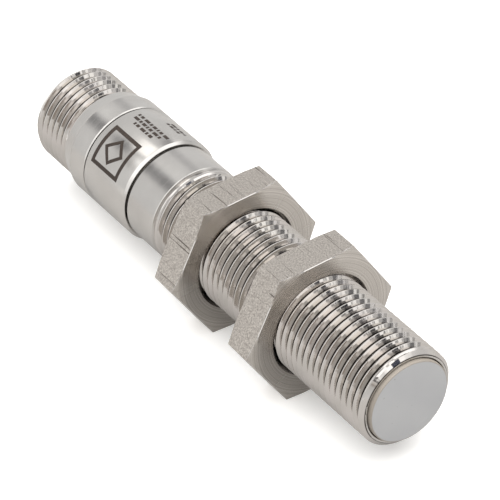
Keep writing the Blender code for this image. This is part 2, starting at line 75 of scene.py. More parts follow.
# Adds a node with its settings, the values and links of its inputs, and the stops of its ramp
def addNode(tree, kind, values=None, links=None, stops=None, **settings):
    node = tree.nodes.new("ShaderNode" + kind)
    for name, value in settings.items():
        setattr(node, name, value)
    for name, value in (values or {}).items():
        node.inputs[name].default_value = value
    for name, socket in (links or {}).items():
        tree.links.new(socket, node.inputs[name])
    if stops:
        for element, (place, code) in zip(node.color_ramp.elements, (stops[0], stops[-1])):
            element.position = place
            element.color = hexToLinear(code)
        for place, code in stops[1:-1]:
            node.color_ramp.elements.new(place).color = hexToLinear(code)
    return node


def newMaterial(name, colour, roughness, metallic=0.0, **sockets):
    made = bpy.data.materials.new(name)
    made.use_nodes = True
    tree = made.node_tree
    shader = tree.nodes["Principled BSDF"]
    shader.inputs["Base Color"].default_value = hexToLinear(colour)
    shader.inputs["Roughness"].default_value = roughness
    shader.inputs["Metallic"].default_value = metallic
    for label, value in sockets.items():
        shader.inputs[label.replace("_", " ")].default_value = value
    return made, tree, shader


def placeInMm(tree):
    spot = addNode(tree, "TexCoord")
    scaled = addNode(tree, "VectorMath", {"Scale": 1 / mm}, {0: spot.outputs["Object"]}, operation="SCALE")
    return scaled.outputs[0]


# Places in mm along the axis and round it at the given radius, with no seam anywhere, then how far
# from the axis each lies
def roundTheAxis(tree, place, radius=6.0):
    flat = addNode(tree, "VectorMath", {1: (0, 1, 1)}, {0: place}, operation="MULTIPLY")
    unit = addNode(tree, "VectorMath", links={0: flat.outputs[0]}, operation="NORMALIZE")
    girth = addNode(tree, "VectorMath", {"Scale": radius}, {0: unit.outputs[0]}, operation="SCALE")
    along = addNode(tree, "VectorMath", {1: (1, 0, 0)}, {0: place}, operation="MULTIPLY")
    both = addNode(tree, "VectorMath", links={0: along.outputs[0], 1: girth.outputs[0]}, operation="ADD")
    reach = addNode(tree, "VectorMath", links={0: flat.outputs[0]}, operation="LENGTH")
    return both.outputs[0], reach.outputs["Value"]


# Noise whose grain is so many mm long each way
def grain(tree, place, size, detail=2.0, roughness=0.5):
    scaled = addNode(tree, "VectorMath", {1: [1 / s for s in size]}, {0: place}, operation="MULTIPLY")
    noise = addNode(tree, "TexNoise", {"Scale": 1.0, "Detail": detail, "Roughness": roughness},
                    {"Vector": scaled.outputs[0]})
    return noise.outputs[0]


# Bumps laid over each other, each with its pattern and its depth in mm
def relief(tree, shader, layers):
    normal = None
    for height, depth in layers:
        bump = addNode(tree, "Bump", {"Strength": 1.0, "Distance": depth * mm}, {"Height": height})
        if normal:
            tree.links.new(normal, bump.inputs["Normal"])
        normal = bump.outputs[0]
    tree.links.new(normal, shader.inputs["Normal"])


def tint(tree, shader, factor, low, high, dark, light):
    ramp = addNode(tree, "ValToRGB", links={0: factor}, stops=[(low, dark), (high, light)])
    tree.links.new(ramp.outputs[0], shader.inputs["Base Color"])


def roughen(tree, shader, factor, least, most):
    span = addNode(tree, "MapRange", {1: 0.3, 2: 0.7, 3: least, 4: most}, {0: factor})
    tree.links.new(span.outputs[0], shader.inputs["Roughness"])


# Lathe grooves run round the axis, so the sheen stretches across them
def aroundX(tree, shader):
    tangent = addNode(tree, "Tangent", direction_type="RADIAL", axis="X")
    tree.links.new(tangent.outputs[0], shader.inputs["Tangent"])


# Single-point cut thread in 303 stainless: bright flanks, with chatter across them that breaks up
# what they mirror, and feed lines that run along the turns; the root is painted dark as painted shade
def cutThreadSteel():
    feedLine = 0.09           # mm from one feed line to the next
    shadeFrom, shadeTo = 5.57, 5.50  # mm from the axis: where the painted shade deep in the root starts, and where it is full
    made, tree, shader = newMaterial("singlePointCutStainless", "#cac6c1", 0.14, 1.0,
                                     Anisotropic=0.5, Anisotropic_Rotation=0.25)
    place = placeInMm(tree)
    girth, reach = roundTheAxis(tree, place)
    chatter = grain(tree, girth, (0.8, 0.42, 0.42), 0.0)
    swell = grain(tree, girth, (2.5, 2.0, 2.0), 0.0)
    feed = addNode(tree, "TexNoise", {"Scale": 1 / feedLine, "Detail": 1.0}, {"W": reach},
                   noise_dimensions="1D")
    relief(tree, shader, [(swell, 0.012), (chatter, 0.009), (feed.outputs[0], 0.0006)])
    steel = addNode(tree, "ValToRGB", links={0: swell}, stops=[(0.30, "#c6c2bd"), (0.70, "#cec9c5")])
    # painted shade: the root fades to a dark brown-grey, standing in for the shade the flanks cast into it
    paintedRootShade = addNode(tree, "MapRange", {1: shadeFrom, 2: shadeTo}, {0: reach})
    both = addNode(tree, "Mix", {7: hexToLinear("#37322e")}, {0: paintedRootShade.outputs[0], 6: steel.outputs[0]},
                   data_type="RGBA")
    tree.links.new(both.outputs[2], shader.inputs["Base Color"])
    roughen(tree, shader, swell, 0.08, 0.14)
    aroundX(tree, shader)
    return made


# Fine-turned 303 stainless: a soft sheen that smears along the axis, with rings about 0.1 mm apart,
# drawn at 0.25 mm so that they show
def fineTurnedSteel():
    made, tree, shader = newMaterial("fineTurnedStainless", "#cbc8c4", 0.24, 1.0,
                                     Anisotropic=0.6, Anisotropic_Rotation=0.25)
    place = placeInMm(tree)
    girth, _ = roundTheAxis(tree, place)
    rings = grain(tree, girth, (0.25, 9.0, 9.0), 3.0)
    stain = grain(tree, girth, (4.0, 3.0, 3.0), 3.0)
    relief(tree, shader, [(rings, 0.002)])
    tint(tree, shader, stain, 0.30, 0.70, "#c5c2be", "#cfccc8")
    roughen(tree, shader, rings, 0.20, 0.27)
    aroundX(tree, shader)
    return made


# Bright-drawn hexagon bar: a dull warm grey grain with die lines along the axis
def drawnBarSteel():
    made, tree, shader = newMaterial("brightDrawnBarStainless", "#b9b3ac", 0.42, 1.0)
    place = placeInMm(tree)
    pits = grain(tree, place, (0.17, 0.17, 0.17), 1.0, 0.6)
    lines = grain(tree, place, (9.0, 0.30, 0.30), 2.0, 0.6)
    deep = addNode(tree, "MapRange", {1: 0.66, 2: 0.70}, {0: lines})
    relief(tree, shader, [(pits, 0.012)])
    grained = addNode(tree, "ValToRGB", links={0: pits}, stops=[(0.30, "#a29a93"), (0.70, "#dad4cc")])
    scored = addNode(tree, "Mix", {7: hexToLinear("#6d665f")},
                     {0: deep.outputs[0], 6: grained.outputs[0]}, data_type="RGBA")
    tree.links.new(scored.outputs[2], shader.inputs["Base Color"])
    roughen(tree, shader, pits, 0.32, 0.46)
    return made


# Nut faces faced off in the lathe: rings of tool marks that fan the light into sectors
def facedSteel():
    toolMark = 0.16           # mm from one ring to the next
    made, tree, shader = newMaterial("latheFacedStainless", "#c6c0b9", 0.25, 1.0,
                                     Anisotropic=0.9, Anisotropic_Rotation=0.25)
    place = placeInMm(tree)
    girth, reach = roundTheAxis(tree, place)
    rings = addNode(tree, "TexNoise", {"Scale": 1 / toolMark, "Detail": 2.0}, {"W": reach},
                    noise_dimensions="1D")
    smear = grain(tree, girth, (5.0, 1.4, 1.4), 2.0)
    relief(tree, shader, [(rings.outputs[0], 0.003)])
    tint(tree, shader, rings.outputs[0], 0.30, 0.70, "#b9b3ac", "#d3cec7")
    roughen(tree, shader, smear, 0.23, 0.28)
    aroundX(tree, shader)
    return made


# Moulded PBT cap: an even satin grey with a few dark specks, and a warmer grey where the rim is worn
def mouldedPbt():
    wornFrom, wornTo = 4.90, 5.02  # mm from the axis
    made, tree, shader = newMaterial("mouldedPbt", "#b2b2b2", 0.46, IOR=1.55)
    place = placeInMm(tree)
    _, reach = roundTheAxis(tree, place)
    fine = grain(tree, place, (0.10, 0.10, 0.10), 2.0)
    speck = grain(tree, place, (0.5, 0.5, 0.5), 1.0)
    cloud = grain(tree, place, (6.0, 6.0, 6.0), 2.0)
    face = addNode(tree, "ValToRGB", links={0: cloud}, stops=[(0.3, "#a6a6a7"), (0.7, "#acacac")])
    rim = addNode(tree, "MapRange", {1: wornFrom, 2: wornTo}, {0: reach}, interpolation_type="SMOOTHSTEP")
    both = addNode(tree, "Mix", {7: hexToLinear("#8f877d")}, {0: rim.outputs[0], 6: face.outputs[0]},
                   data_type="RGBA")
    spots = addNode(tree, "MapRange", {1: 0.76, 2: 0.80}, {0: speck})
    dotted = addNode(tree, "Mix", {7: hexToLinear("#807c76")}, {0: spots.outputs[0], 6: both.outputs[2]},
                     data_type="RGBA")
    tree.links.new(dotted.outputs[2], shader.inputs["Base Color"])
    relief(tree, shader, [(fine, 0.002)])
    roughen(tree, shader, fine, 0.42, 0.52)
    return made


# Laser-annealed oxide: a matt dark brown skin on the steel, speckled where the pulses overlap
def laserOxide():
    made, tree, shader = newMaterial("laserAnnealedOxide", "#2c2521", 0.55, 0.2)
    place = placeInMm(tree)
    pulses = grain(tree, place, (0.14, 0.14, 0.14), 2.0, 0.7)
    tint(tree, shader, pulses, 0.30, 0.72, "#211b18", "#40362e")
    relief(tree, shader, [(pulses, 0.004)])
    roughen(tree, shader, pulses, 0.48, 0.66)
    return made


# One recipe for the inner pieces and small mouldings: a grain of the given size between two shades
def grainyMaterial(name, dark, light, roughness, size, depth, metallic=0.0, **sockets):
    made, tree, shader = newMaterial(name, light, roughness, metallic, **sockets)
    place = placeInMm(tree)
    coarse = grain(tree, place, size, 3.0, 0.6)
    tint(tree, shader, coarse, 0.32, 0.68, dark, light)
    relief(tree, shader, [(coarse, depth)])
    roughen(tree, shader, coarse, roughness - 0.05, roughness + 0.06)
    return made


finishes = {
    "thread": cutThreadSteel(),
    "turned": fineTurnedSteel(),
    "flats": drawnBarSteel(),
    "faced": facedSteel(),
    "cap": mouldedPbt(),
    "mark": laserOxide(),
    # glass-filled polyamide, moulded: black with a faint spark-eroded texture
    "insert": grainyMaterial("mouldedPolyamide", "#121212", "#1d1d1e", 0.48, (0.12, 0.12, 0.12), 0.003,
                             IOR=1.53),
    # hard gold over nickel on turned brass: warm and bright, with faint turning marks
    "gold": grainyMaterial("goldPlatedBrass", "#c99a3c", "#e2bd66", 0.20, (0.10, 2.0, 2.0), 0.002, 1.0),
    # smoked polycarbonate, moulded: lets the light of the LED through
    "lens": grainyMaterial("mouldedPolycarbonate", "#d9b25c", "#f0d28a", 0.14, (1.5, 1.5, 1.5), 0.001,
                           IOR=1.58, Transmission_Weight=0.6),
    # nitrile rubber, moulded: dull black with talc dust
    "rubber": grainyMaterial("mouldedNitrile", "#0e0e0e", "#232221", 0.70, (0.2, 0.2, 0.2), 0.004,
                             IOR=1.52),
    # sintered ferrite: nearly black and granular
    "ferrite": grainyMaterial("sinteredFerrite", "#26262a", "#3c3c41", 0.62, (0.08, 0.08, 0.08), 0.006,
                              IOR=2.2),
    # enamelled copper wire, wound: red copper with fine lines from the drawing die
    "copper": grainyMaterial("enamelledCopperWire", "#a2562b", "#c97c48", 0.30, (0.12, 3.0, 3.0), 0.01,
                             1.0),
    # drawn brass tube: a dull gold with faint die lines along it
    "brass": grainyMaterial("drawnBrassTube", "#b08d45", "#cfae66", 0.32, (3.0, 0.2, 0.2), 0.003, 1.0),
    # glass-epoxy laminate under solder mask: glossy green over the weave of the glass
    "laminate": grainyMaterial("solderMaskedLaminate", "#12522b", "#1d6e3a", 0.38, (0.5, 0.5, 0.5), 0.004,
                               IOR=1.5),
    # cast epoxy: dark and slightly glossy, with a settled filler
    "resin": grainyMaterial("castEpoxy", "#37322b", "#4c463c", 0.34, (0.6, 0.6, 0.6), 0.004, IOR=1.55),
    # sealing compound smeared in the joint round the cap: matt and nearly black
    "compound": grainyMaterial("curedSealingCompound", "#171412", "#26211e", 0.60, (0.3, 0.3, 0.3), 0.004,
                               IOR=1.5),
    # fired ceramic: a dull tan with a fine speckle
    "ceramic": grainyMaterial("firedCeramic", "#9c8468", "#b79f82", 0.50, (0.10, 0.10, 0.10), 0.003,
                              IOR=1.7),
    # transfer-moulded epoxy of chips and resistors: a dull, slightly sandy dark grey
    "chip": grainyMaterial("transferMouldedEpoxy", "#1a1a1c", "#29292b", 0.50, (0.1, 0.1, 0.1), 0.003,
                           IOR=1.55),
    # natural liquid-crystal polymer, moulded: pale cream with a soft flow mottle
    "cream": grainyMaterial("mouldedLcp", "#c2b596", "#d6caad", 0.45, (0.3, 0.3, 0.3), 0.003, IOR=1.6),
}
print("materials made:", len(finishes))


# Angles evenly round the axis, with any extra ones among them
def evenAngles(count, extra=()):
    angles = [2 * math.pi * i / count for i in range(count)]
    return np.array(sorted(set(angles) | set(extra)))


# A row of points right round the axis; wrap says which row it runs on into after a full turn
def ring(rows, station, radius, angles):
    stations = np.full(len(angles), float(station))
    rows.append((stations, np.broadcast_to(np.asarray(radius, float), stations.shape), len(rows)))


# Rows that climb with the thread, each as far round as the stretch goes
def helixRows(rows, front, rear, radiusAt, angles, thread):
    ring(rows, front, radiusAt(np.full(len(angles), front), angles), angles)
    first = len(rows) - 1
    pitch = thread["pitch"]
    start = ((thread["origin"] - front) / pitch) % 1.0
    parts = sorted((place - start) % 1.0 for place, _ in thread["section"])
    for turn in range(math.ceil((front - rear) / pitch) + 2):
        for part in parts:
            stations = front - pitch * (turn + part) + pitch * angles / (2 * math.pi)
            stations = np.clip(stations, rear, front)
            rows.append((stations, radiusAt(stations, angles), max(first, len(rows) - len(parts))))
    ring(rows, rear, radiusAt(np.full(len(angles), rear), angles), angles)


# The thread's section, as a share of a turn and a height between root and crest
def threadHeight(stations, angles, thread):
    turns = (thread["origin"] - stations) / thread["pitch"] + angles / (2 * math.pi)
    places, heights = zip(*thread["section"])
    return np.interp(turns % 1.0, places, heights, period=1.0)


# Joins each row to the next, and the last to the first where the form is closed
def meshFromRows(name, rows, angles, material, closed=True, sharp=32, pick=None):
    count = len(angles)
    stations = np.array([row[0] for row in rows])
    radii = np.array([row[1] for row in rows])
    points = np.stack([stations, radii * np.cos(angles), radii * np.sin(angles)], -1) * mm
    here = np.arange(len(rows) * count).reshape(len(rows), count)
    beside = np.roll(here, -1, axis=1)
    beside[:, -1] = [row[2] * count for row in rows]
    pairs = [(j, j + 1) for j in range(len(rows) - 1)]
    if closed:
        pairs.append((len(rows) - 1, 0))
    quads = np.concatenate([np.stack([here[a], here[b], beside[b], beside[a]], -1) for a, b in pairs])
    mesh = bpy.data.meshes.new(name)
    mesh.from_pydata(points.reshape(-1, 3).tolist(), [], quads.tolist())
    return finishMesh(name, mesh, material, sharp, pick)


# Cleans a mesh, picks each face's finish and makes the piece
def finishMesh(name, mesh, material, sharp=32, pick=None):
    shape = bmesh.new()
    shape.from_mesh(mesh)
    same = 0.0005 * mm        # points this close are one
    bmesh.ops.remove_doubles(shape, verts=shape.verts, dist=same)
    bmesh.ops.dissolve_degenerate(shape, edges=shape.edges, dist=same)
    bmesh.ops.recalc_face_normals(shape, faces=shape.faces)
    if pick:
        for face in shape.faces:
            face.material_index = pick(face.calc_center_median() / mm, face.normal)
    shape.to_mesh(mesh)
    shape.free()
    mesh.shade_smooth()
    mesh.set_sharp_from_angle(angle=math.radians(sharp))
    piece = bpy.data.objects.new(name, mesh)
    bpy.context.scene.collection.objects.link(piece)
    for finish in material if isinstance(material, list) else [material]:
        mesh.materials.append(finish)
    return piece


def turnedPiece(name, outline, angles, material, closed=True, sharp=32):
    rows = []
    for station, radius in outline:
        ring(rows, station, radius, angles)
    return meshFromRows(name, rows, angles, material, closed, sharp)


# The body that a piece rides on and the nodes that it stands for, which it hides; the slot's name is not
# used
def mount(piece, body, slotName, *nodes):
    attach(piece, body)
    if nodes:
        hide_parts(*nodes)
    return piece


def cutHole(piece, cutter):
    hole = piece.modifiers.new("hole", "BOOLEAN")
    hole.operation = "DIFFERENCE"
    hole.object = cutter
    bpy.context.view_layer.objects.active = piece
    bpy.ops.object.modifier_apply(modifier=hole.name)
    bpy.data.objects.remove(cutter)


# ISO metric section: crest an eighth of the pitch wide, 60 degree flanks, a root a little wider
metricThread = {
    "pitch": 1.0,
    "crestRadius": 6.0,
    "rootRadius": 5.387,
    "origin": cornersInMm("threaded_barrel")[1].x,
    "section": [
        (0.000, 0.97), (0.022, 1.00), (0.103, 1.00), (0.125, 0.97),
        (0.302, 0.50), (0.479, 0.03), (0.505, 0.00), (0.620, 0.00), (0.646, 0.03), (0.823, 0.50),
    ],
    "innermost": 5.0,         # no cut face lies closer to the axis than this
}


# The threaded barrel
barrelSizes = {
    "segments": 168,
    "plainRadius": 6.08,
    "threadLength": 39.15,
    "fadeIn": 0.25,           # the thread deepens over this much past the chamfer
    "fadeOut": 0.9,
    "chamfer": (0.46, 0.56),  # along the axis, then across it
    "edge": 0.06,
    "counterbore": (0.7, 5.20),
    "bore": 4.9,
    "undercut": (0.10, 0.36, 0.22),  # from and to behind the thread, then how deep
    "shoulder": (0.50, 0.56),        # from and to behind the thread
    "plainEnd": -45.15,
    "spigotRadius": 5.5,
    "sealGroove": (-46.7, -47.5, 5.2),
    "runOut": 0.4,            # how far back the thread's own finish goes on
    "windowHole": {"radius": 1.2, "length": 3.0, "middle": 5.5},
    "nearly": 0.01,           # slack in telling one face from the next
}


def threadedBarrel():
    sizes = barrelSizes
    low, high = cornersInMm("threaded_barrel")
    angles = evenAngles(sizes["segments"])
    front = high.x
    threadEnd = front - sizes["threadLength"]
    crest = metricThread["crestRadius"]
    root = metricThread["rootRadius"]
    depth, counterRadius = sizes["counterbore"]
    edge = sizes["edge"]
    chamfer, chamferReach = sizes["chamfer"]
    grooveFront, grooveEnd, grooveRadius = sizes["sealGroove"]

    def radiusAt(stations, around):
        height = threadHeight(stations, around, metricThread)
        fade = np.clip((front - chamfer - stations) / sizes["fadeIn"], 0, 1)
        fade = fade * np.clip((stations - threadEnd) / sizes["fadeOut"], 0, 1)
        cut = crest - (crest - root) * (1 - height) * fade
        blank = np.minimum(crest, crest - chamferReach + (front - stations) * chamferReach / chamfer)
        return np.minimum(cut, blank)

    rows = []
    ring(rows, front - depth, sizes["bore"], angles)
    ring(rows, front - depth, counterRadius, angles)
    ring(rows, front - edge, counterRadius, angles)
    ring(rows, front, counterRadius + edge, angles)
    helixRows(rows, front, threadEnd, radiusAt, angles, metricThread)
    plain, plainEnd, spigot = sizes["plainRadius"], sizes["plainEnd"], sizes["spigotRadius"]
    cutFrom, cutTo, cutDepth = sizes["undercut"]
    stepFrom, stepTo = sizes["shoulder"]
    tail = [
        (threadEnd - cutFrom, crest - cutDepth), (threadEnd - cutTo, crest - cutDepth),
        (threadEnd - stepFrom, plain - edge), (threadEnd - stepTo, plain),
        (plainEnd + edge, plain), (plainEnd, plain - edge), (plainEnd, spigot),
        (grooveFront, spigot), (grooveFront, grooveRadius),
        (grooveEnd, grooveRadius), (grooveEnd, spigot),
        (low.x, spigot), (low.x, sizes["bore"]),
    ]
    for station, radius in tail:
        ring(rows, station, radius, angles)

    def pick(centre, normal):
        reach = math.hypot(centre.y, centre.z)
        nearly = sizes["nearly"]
        if centre.x > front - depth - nearly and reach < counterRadius + nearly:
            return 2
        mouth = centre.x > front - edge - nearly and reach < crest - chamferReach + 2 * nearly
        threaded = centre.x > threadEnd - sizes["runOut"] and reach > metricThread["innermost"]
        return 0 if threaded and not mouth else 1

    skins = [finishes["thread"], finishes["turned"], finishes["compound"]]
    barrel = meshFromRows("threaded_barrel_finish", rows, angles, skins, sharp=12, pick=pick)
    windowLow, windowHigh = cornersInMm("led_window")
    hole = sizes["windowHole"]
    bpy.ops.mesh.primitive_cylinder_add(
        vertices=64, radius=hole["radius"] * mm, depth=hole["length"] * mm,
        location=((windowLow.x + windowHigh.x) / 2 * mm, hole["middle"] * mm, 0),
        rotation=(math.pi / 2, 0, 0))
    cutHole(barrel, bpy.context.active_object)
    return mount(barrel, sensorBody, "stainless_steel", "threaded_barrel")


# The plug's housing
plugSizes = {
    "segments": 168,
    "spigotRadius": 5.5,
    "flangeFront": -53.75,
    "flangeEnd": -56.6,
    "coneEnd": -58.3,
    "edge": 0.12,
    "rim": 0.5,
    "bore": 4.9,
    "stop": (-54.6, -55.5, 4.4),
    "fadeIn": 0.5,
    "mouth": 0.2,             # how far in from the crest the end face starts
    "runOut": 0.1,
}


def plugHousing():
    sizes = plugSizes
    low, high = cornersInMm("connector_shell")
    angles = evenAngles(sizes["segments"])
    crest = metricThread["crestRadius"]
    root = metricThread["rootRadius"]
    flange, edge, bore, spigot = high.y, sizes["edge"], sizes["bore"], sizes["spigotRadius"]
    flangeFront, flangeEnd = sizes["flangeFront"], sizes["flangeEnd"]
    coneEnd, rear = sizes["coneEnd"], low.x
    stopFront, stopEnd, stopRadius = sizes["stop"]

    def radiusAt(stations, around):
        height = threadHeight(stations, around, metricThread)
        fade = np.clip((coneEnd - stations) / sizes["fadeIn"], 0, 1)
        cut = crest - (crest - root) * (1 - height) * fade
        blank = np.minimum(crest, crest - sizes["rim"] + (stations - rear))
        return np.minimum(cut, blank)

    rows = []
    nose = [
        (stopEnd, bore), (stopEnd, stopRadius), (stopFront, stopRadius), (stopFront, bore),
        (high.x, bore), (high.x, spigot), (flangeFront, spigot), (flangeFront, flange - edge),
        (flangeFront - edge, flange), (flangeEnd + edge, flange), (flangeEnd, flange - edge / 2),
    ]
    for station, radius in nose:
        ring(rows, station, radius, angles)
    helixRows(rows, coneEnd, rear, radiusAt, angles, metricThread)
    ring(rows, rear, bore + edge, angles)
    ring(rows, rear + edge, bore, angles)

    def pick(centre, normal):
        reach = math.hypot(centre.y, centre.z)
        mouth = centre.x < rear + sizes["rim"] and reach < crest - sizes["mouth"]
        threaded = centre.x < coneEnd + sizes["runOut"] and reach > metricThread["innermost"]
        return 0 if threaded and not mouth else 1

    skins = [finishes["thread"], finishes["turned"]]
    housing = meshFromRows("connector_shell_finish", rows, angles, skins, sharp=12, pick=pick)
    return mount(housing, sensorBody, "stainless_steel", "connector_shell")


# The collar and its laser marks
sleeveSizes = {
    "segments": 192,
    "bore": 5.8,
    # each edge's points, as far in from the end and down from the outside
    "frontEdge": [(0.0, 0.30), (0.06, 0.26), (0.26, 0.05), (0.34, 0.0)],
    "rearEdge": [(0.14, 0.0), (0.042, 0.042), (0.0, 0.14)],
}


def markingSleeve():
    sizes = sleeveSizes
    low, high = cornersInMm("marking_sleeve")
    angles = evenAngles(sizes["segments"])
    radius = high.y
    front, rear = high.x, low.x
    outline = [
        (front, sizes["bore"]),
        *[(front - along, radius - down) for along, down in sizes["frontEdge"]],
        *[(rear + along, radius - down) for along, down in sizes["rearEdge"]],
        (rear, sizes["bore"]),
    ]
    sleeve = turnedPiece("marking_sleeve_finish", outline, angles, finishes["turned"], sharp=50)
    return mount(sleeve, sensorBody, "satin_steel", "marking_sleeve")


# A thin skin on the collar, given as a list of (degrees round, rear station, front station)
def skinPatch(shape, spans, radius, thickness=0.02):
    rings = []
    for degrees, rear, front in spans:
        angle = math.radians(degrees)
        corners = []
        for level, station in ((radius + thickness / 2, rear), (radius + thickness / 2, front),
                               (radius - thickness / 2, front), (radius - thickness / 2, rear)):
            point = (station * mm, level * math.cos(angle) * mm, level * math.sin(angle) * mm)
            corners.append(shape.verts.new(point))
        rings.append(corners)
    for near, far in zip(rings, rings[1:]):
        for k in range(4):
            shape.faces.new((near[k], near[(k + 1) % 4], far[(k + 1) % 4], far[k]))
    shape.faces.new(rings[0])
    shape.faces.new(rings[-1])


def barPatch(shape, stations, degrees, radius):
    least, most = degrees
    steps = max(1, math.ceil((most - least) / marks["step"]))
    spans = [(least + (most - least) * i / steps, *stations) for i in range(steps + 1)]
    skinPatch(shape, spans, radius)


# A plain proximity sign, a square round a diamond outline, then rows of short dashes
marks = {
    "square": {"stations": (-52.7, -47.5), "degrees": (107.0, 153.0), "line": 0.50},
    "diamond": {"reach": 1.75, "line": 0.42, "steps": 10, "tip": 0.02},
    "rows": [(91.0, -47.9), (85.0, -47.2), (79.0, -46.6), (60.0, -47.4), (54.5, -47.0)],
    "rowHeight": 3.6,
    "rowRear": [-52.2, -52.6, -52.8, -50.6, -50.4],
    "dashes": [(0.62, 0.22), (0.36, 0.2), (0.85, 0.3), (0.5, 0.22), (0.28, 0.2)],  # length and gap
    "step": 2,                # degrees from one line of points to the next
}


def laserMarks():
    radius = cornersInMm("marking_sleeve")[1].y
    shape = bmesh.new()
    line = marks["square"]["line"]
    lineAngle = math.degrees(line / radius)
    rear, front = marks["square"]["stations"]
    least, most = marks["square"]["degrees"]
    barPatch(shape, (rear, rear + line), (least, most), radius)
    barPatch(shape, (front - line, front), (least, most), radius)
    barPatch(shape, (rear + line, front - line), (least, least + lineAngle), radius)
    barPatch(shape, (rear + line, front - line), (most - lineAngle, most), radius)
    middle, centre = (rear + front) / 2, (least + most) / 2
    diamond = marks["diamond"]
    reach, steps, tip = diamond["reach"], diamond["steps"], diamond["tip"]
    thick = diamond["line"] * math.sqrt(2)
    for side in (-1, 1):
        spans = []
        for i in range(-steps, steps + 1):
            across = reach * i / steps
            outer = reach - abs(across)
            inner = max(outer - thick, 0.0)
            ends = sorted((side * inner, side * max(outer, tip)))
            spans.append((centre + math.degrees(across / radius), middle + ends[0], middle + ends[1]))
        skinPatch(shape, spans, radius)
    for number, (angle, station) in enumerate(marks["rows"]):
        dash = number
        while True:
            length, gap = marks["dashes"][dash % len(marks["dashes"])]
            if station - length < marks["rowRear"][number]:
                break
            barPatch(shape, (station - length, station), (angle, angle + marks["rowHeight"]), radius)
            station -= length + gap
            dash += 1
    mesh = bpy.data.meshes.new("laser_marks")
    shape.to_mesh(mesh)
    shape.free()
    marksPiece = finishMesh("laser_marks", mesh, finishes["mark"])
    return mount(marksPiece, sensorBody, "satin_steel")


# The cap over the sensing face
capSizes = {
    "segments": 168,
    "rim": 0.16,
    "skirt": 4.6,
    "bore": 4.0,
    "floor": 0.8,
    "faceRing": 2.5,
    "arcSteps": 6,
    "lipEnd": -0.9,
    "leadIn": (0.3, 0.2),     # the taper at the skirt's end, along the axis and across it
    "fillet": 0.2,
    "sealGroove": (-3.1, -4.1, 4.25),
}


def sensingCap():
    sizes = capSizes
    low, high = cornersInMm("sensing_cap")
    angles = evenAngles(sizes["segments"])
    lip, rim, skirt, bore = high.y, sizes["rim"], sizes["skirt"], sizes["bore"]
    inside, fillet = -sizes["floor"], sizes["fillet"]
    grooveFront, grooveEnd, grooveRadius = sizes["sealGroove"]
    leadAlong, leadAcross = sizes["leadIn"]
    arc = [
        (high.x - rim + rim * math.cos(a), lip - rim + rim * math.sin(a))
        for a in np.linspace(0.0, math.pi / 2, sizes["arcSteps"] + 1)
    ]
    outline = [
        (high.x, 0.0), (high.x, sizes["faceRing"]), *arc,
        (sizes["lipEnd"], lip), (sizes["lipEnd"], skirt),
        (grooveFront, skirt), (grooveFront, grooveRadius), (grooveEnd, grooveRadius), (grooveEnd, skirt),
        (low.x + leadAlong, skirt), (low.x, skirt - leadAcross), (low.x, bore),
        (inside - fillet, bore), (inside, bore - fillet), (inside, 0.0),
    ]
    cap = turnedPiece("sensing_cap_finish", outline, angles, finishes["cap"], closed=False, sharp=40)
    return mount(cap, sensorBody, "grey_plastic", "sensing_cap")


# The coil on its bobbin: enamelled wire, drawn as 0.28 mm turns so that each can be told apart
coilSizes = {"segments": 96, "wire": 0.28, "arc": 6, "bore": 1.5}


def coilWinding():
    low, high = cornersInMm("coil_winding")
    sizes = coilSizes
    turns = round((high.x - low.x) / sizes["wire"])
    step = (high.x - low.x) / turns
    valley = high.y - step / 2
    outline = [(low.x, sizes["bore"]), (low.x, valley)]
    for turn in range(turns):
        for k in range(1, sizes["arc"]):
            angle = math.pi * k / sizes["arc"]
            station = low.x + step * (turn + 0.5) - step / 2 * math.cos(angle)
            outline.append((station, valley + step / 2 * math.sin(angle)))
        outline.append((low.x + step * (turn + 1), valley))
    outline.append((high.x, sizes["bore"]))
    angles = evenAngles(sizes["segments"])
    coil = turnedPiece("coil_winding_finish", outline, angles, finishes["copper"], sharp=50)
    return mount(coil, sensorBody, "copper", "coil_winding")


# The plug's contacts and the window over the LED
smallSizes = {
    "pinSegments": 40,
    "pinTip": 0.38,           # how far back the rounding of a pin's end reaches
    "pinFullness": 0.8,       # 1 for an even round end, less for a blunter one
    "pinSteps": 9,
    "pinEdge": 0.06,
    "windowSegments": 56,
    # the window's crown: how far out from its middle, then how far down
    "windowDome": [(0.0, 0.0), (0.35, 0.012), (0.60, 0.04), (0.78, 0.09), (0.86, 0.15), (0.90, 0.24)],
}


def contactPin(node):
    sizes = smallSizes
    low, high = cornersInMm(node)
    radius, tip, edge = (high.y - low.y) / 2, sizes["pinTip"], sizes["pinEdge"]
    bend = [
        (low.x + tip * (1 - math.cos(a)), radius * math.sin(a) ** sizes["pinFullness"])
        for a in np.linspace(0.0, math.pi / 2, sizes["pinSteps"])
    ]
    outline = [*bend, (high.x - edge, radius), (high.x, radius - edge), (high.x, 0.0)]
    angles = evenAngles(sizes["pinSegments"])
    pin = turnedPiece(node + "_finish", outline, angles, finishes["gold"], closed=False, sharp=40)
    pin.data.transform(Matrix.Translation((0, (low.y + high.y) / 2 * mm, (low.z + high.z) / 2 * mm)))
    return mount(pin, sensorBody, "gold_plate", node)


def ledWindow():
    low, high = cornersInMm("led_window")
    radius = (high.x - low.x) / 2
    dome = smallSizes["windowDome"]
    outline = [(high.y - drop, out * radius / dome[-1][0]) for out, drop in dome]
    outline += [(low.y, radius), (low.y, 0.0)]
    angles = evenAngles(smallSizes["windowSegments"])
    window = turnedPiece("led_window_finish", outline, angles, finishes["lens"], closed=False, sharp=50)
    place = Matrix.Translation(((low.x + high.x) / 2 * mm, 0, 0))
    window.data.transform(place @ Matrix.Rotation(math.pi / 2, 4, "Z"))
    return mount(window, sensorBody, "clear_lens", "led_window")


